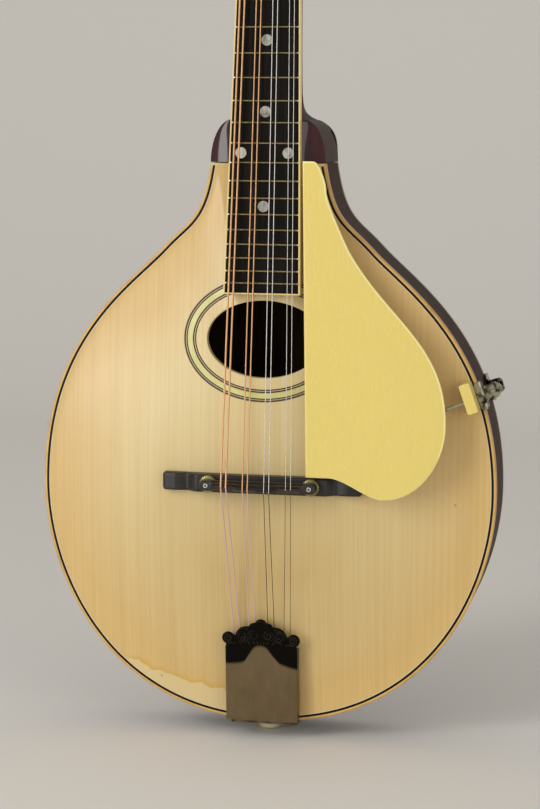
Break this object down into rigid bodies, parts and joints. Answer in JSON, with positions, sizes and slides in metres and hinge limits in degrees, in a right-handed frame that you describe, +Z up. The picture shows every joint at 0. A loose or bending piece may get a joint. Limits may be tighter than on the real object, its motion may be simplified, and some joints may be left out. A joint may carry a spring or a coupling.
{
  "type": "a-style mandolin",
  "caption": "Teardrop mandolin with carved plates, oval soundhole, raised pickguard on a side clamp, adjustable bridge, covered tailpiece and worm-geared tuners.",
  "frame": {"origin": "middle of the nut's front edge, on the fingerboard's surface", "axes": "+Z up the neck towards the headstock, +X to the treble side, the front faces -Y"},
  "size_m": [0.2577, 0.1013, 0.6387],
  "materials": {
    "spruce": "satin varnish, aged amber",
    "maple": "gloss dark red-brown varnish",
    "mahogany": "gloss dark red varnish",
    "inner_wood": "bare",
    "ebony": "satin, oiled",
    "ivoroid": "gloss, faint grain",
    "celluloid": "gloss",
    "purfling": "satin",
    "bone": "polished",
    "nickel": "aged nickel plate",
    "brass": "dull",
    "key_metal": "gloss button on a steel worm",
    "bronze_wire": "wound, bright",
    "steel_wire": "plain, bright"
  },
  "bodies": {
    "instrument": {"back_binding": "ivoroid", "back_lining": "inner_wood", "back_plate": "maple", "bridge_base": "ebony", "bridge_post_bass": "nickel", "bridge_post_treble": "nickel", "clamp_upper_jaw": "nickel", "end_pin": "ivoroid", "fingerboard": "ebony", "fingerboard_binding": "ivoroid", "guard_block": "ivoroid", "guard_pin": "nickel", "guard_rod": "nickel", "head_block": "inner_wood", "headstock_veneer": "ebony", "heel_cap": "ebony", "neck": "mahogany", "nut": "bone", "pickguard": "celluloid", "rim": "maple", "rosette": "ivoroid", "soundboard": "spruce", "soundhole_brace": "spruce", "string_a1": "steel_wire", "string_a2": "steel_wire", "string_d1": "bronze_wire", "string_d2": "bronze_wire", "string_e1": "steel_wire", "string_e2": "steel_wire", "string_g1": "bronze_wire", "string_g2": "bronze_wire", "tail_block": "inner_wood", "tailpiece_base": "nickel", "top_binding": "ivoroid", "top_lining": "inner_wood", "top_purfling": "purfling", "tuner_plate_bass": "nickel", "tuner_plate_treble": "nickel"},
    "saddle": {"bridge_saddle": "ebony"},
    "thumbwheel_bass": {"thumbwheel_bass": "brass"},
    "thumbwheel_treble": {"thumbwheel_treble": "brass"},
    "cover": {"tailpiece_cover": "nickel"},
    "clamp_jaw": {"clamp_lower_jaw": "nickel"},
    "clamp_screw": {"clamp_screw": "nickel"},
    "key_g1": {"tuner_key_g1": "key_metal"},
    "post_g1": {"tuner_post_g1": "nickel"},
    "key_g2": {"tuner_key_g2": "key_metal"},
    "post_g2": {"tuner_post_g2": "nickel"},
    "key_d1": {"tuner_key_d1": "key_metal"},
    "post_d1": {"tuner_post_d1": "nickel"},
    "key_d2": {"tuner_key_d2": "key_metal"},
    "post_d2": {"tuner_post_d2": "nickel"},
    "key_a1": {"tuner_key_a1": "key_metal"},
    "post_a1": {"tuner_post_a1": "nickel"},
    "key_a2": {"tuner_key_a2": "key_metal"},
    "post_a2": {"tuner_post_a2": "nickel"},
    "key_e1": {"tuner_key_e1": "key_metal"},
    "post_e1": {"tuner_post_e1": "nickel"},
    "key_e2": {"tuner_key_e2": "key_metal"},
    "post_e2": {"tuner_post_e2": "nickel"}
  },
  "joints": [
    {"name": "tuner_key_g1_turn", "type": "hinge", "parent": "instrument", "child": "key_g1", "pos_m": [-0.024, 0.03193, 0.0257], "axis": [1, 0, 0], "continuous": true},
    {"name": "tuner_post_g1_turn", "type": "hinge", "parent": "instrument", "child": "post_g1", "pos_m": [-0.024, 0.01781, 0.03869], "axis": [0, 0.9401, -0.3409], "continuous": true},
    {"name": "tuner_key_g2_turn", "type": "hinge", "parent": "instrument", "child": "key_g2", "pos_m": [-0.024, 0.03994, 0.04779], "axis": [1, 0, 0], "continuous": true},
    {"name": "tuner_post_g2_turn", "type": "hinge", "parent": "instrument", "child": "post_g2", "pos_m": [-0.024, 0.02582, 0.06078], "axis": [0, 0.9401, -0.3409], "continuous": true},
    {"name": "tuner_key_d1_turn", "type": "hinge", "parent": "instrument", "child": "key_d1", "pos_m": [-0.024, 0.04795, 0.06988], "axis": [1, 0, 0], "continuous": true},
    {"name": "tuner_post_d1_turn", "type": "hinge", "parent": "instrument", "child": "post_d1", "pos_m": [-0.024, 0.03383, 0.08287], "axis": [0, 0.9401, -0.3409], "continuous": true},
    {"name": "tuner_key_d2_turn", "type": "hinge", "parent": "instrument", "child": "key_d2", "pos_m": [-0.024, 0.05596, 0.09197], "axis": [1, 0, 0], "continuous": true},
    {"name": "tuner_post_d2_turn", "type": "hinge", "parent": "instrument", "child": "post_d2", "pos_m": [-0.024, 0.04184, 0.10496], "axis": [0, 0.9401, -0.3409], "continuous": true},
    {"name": "tuner_key_a1_turn", "type": "hinge", "parent": "instrument", "child": "key_a1", "pos_m": [0.024, 0.05596, 0.09197], "axis": [1, 0, 0], "continuous": true},
    {"name": "tuner_post_a1_turn", "type": "hinge", "parent": "instrument", "child": "post_a1", "pos_m": [0.024, 0.04184, 0.10496], "axis": [0, 0.9401, -0.3409], "continuous": true},
    {"name": "tuner_key_a2_turn", "type": "hinge", "parent": "instrument", "child": "key_a2", "pos_m": [0.024, 0.04795, 0.06988], "axis": [1, 0, 0], "continuous": true},
    {"name": "tuner_post_a2_turn", "type": "hinge", "parent": "instrument", "child": "post_a2", "pos_m": [0.024, 0.03383, 0.08287], "axis": [0, 0.9401, -0.3409], "continuous": true},
    {"name": "tuner_key_e1_turn", "type": "hinge", "parent": "instrument", "child": "key_e1", "pos_m": [0.024, 0.03994, 0.04779], "axis": [1, 0, 0], "continuous": true},
    {"name": "tuner_post_e1_turn", "type": "hinge", "parent": "instrument", "child": "post_e1", "pos_m": [0.024, 0.02582, 0.06078], "axis": [0, 0.9401, -0.3409], "continuous": true},
    {"name": "tuner_key_e2_turn", "type": "hinge", "parent": "instrument", "child": "key_e2", "pos_m": [0.024, 0.03193, 0.0257], "axis": [1, 0, 0], "continuous": true},
    {"name": "tuner_post_e2_turn", "type": "hinge", "parent": "instrument", "child": "post_e2", "pos_m": [0.024, 0.01781, 0.03869], "axis": [0, 0.9401, -0.3409], "continuous": true},
    {"name": "thumbwheel_bass_turn", "type": "hinge", "parent": "saddle", "child": "thumbwheel_bass", "pos_m": [-0.0288, -0.0232, -0.35239], "axis": [0, -1, 0], "range_deg": [0, 720]},
    {"name": "thumbwheel_treble_turn", "type": "hinge", "parent": "saddle", "child": "thumbwheel_treble", "pos_m": [0.0288, -0.0232, -0.35239], "axis": [0, -1, 0], "range_deg": [0, 720]},
    {"name": "saddle_height", "type": "slide", "parent": "instrument", "child": "saddle", "axis": [0, -1, 0], "range_m": [0, 0.00158], "deforming": ["string_g1", "string_g2", "string_d1", "string_d2", "string_a1", "string_a2", "string_e1", "string_e2"]},
    {"name": "cover_slide", "type": "slide", "parent": "instrument", "child": "cover", "axis": [0, 0.0859, -0.9963], "range_m": [0, 0.045]},
    {"name": "clamp_screw_turn", "type": "hinge", "parent": "instrument", "child": "clamp_screw", "pos_m": [0.12481, 0.0043, -0.29883], "axis": [0, 1, 0], "range_deg": [0, 1440]},
    {"name": "clamp_jaw_slide", "type": "slide", "parent": "instrument", "child": "clamp_jaw", "axis": [0, 1, 0], "range_m": [0, 0.002]}
  ],
  "couplings": [
    {"joint": "tuner_post_g1_turn", "follows": "tuner_key_g1_turn", "ratio": 0.071429},
    {"joint": "tuner_post_g2_turn", "follows": "tuner_key_g2_turn", "ratio": 0.071429},
    {"joint": "tuner_post_d1_turn", "follows": "tuner_key_d1_turn", "ratio": 0.071429},
    {"joint": "tuner_post_d2_turn", "follows": "tuner_key_d2_turn", "ratio": 0.071429},
    {"joint": "tuner_post_a1_turn", "follows": "tuner_key_a1_turn", "ratio": 0.071429},
    {"joint": "tuner_post_a2_turn", "follows": "tuner_key_a2_turn", "ratio": 0.071429},
    {"joint": "tuner_post_e1_turn", "follows": "tuner_key_e1_turn", "ratio": 0.071429},
    {"joint": "tuner_post_e2_turn", "follows": "tuner_key_e2_turn", "ratio": 0.071429},
    {"joint": "thumbwheel_bass_turn", "follows": "saddle_height", "rad_per_m": 7953.4},
    {"joint": "thumbwheel_treble_turn", "follows": "saddle_height", "rad_per_m": 7953.4},
    {"joint": "clamp_screw_turn", "follows": "clamp_jaw_slide", "rad_per_m": 12566}
  ]
}
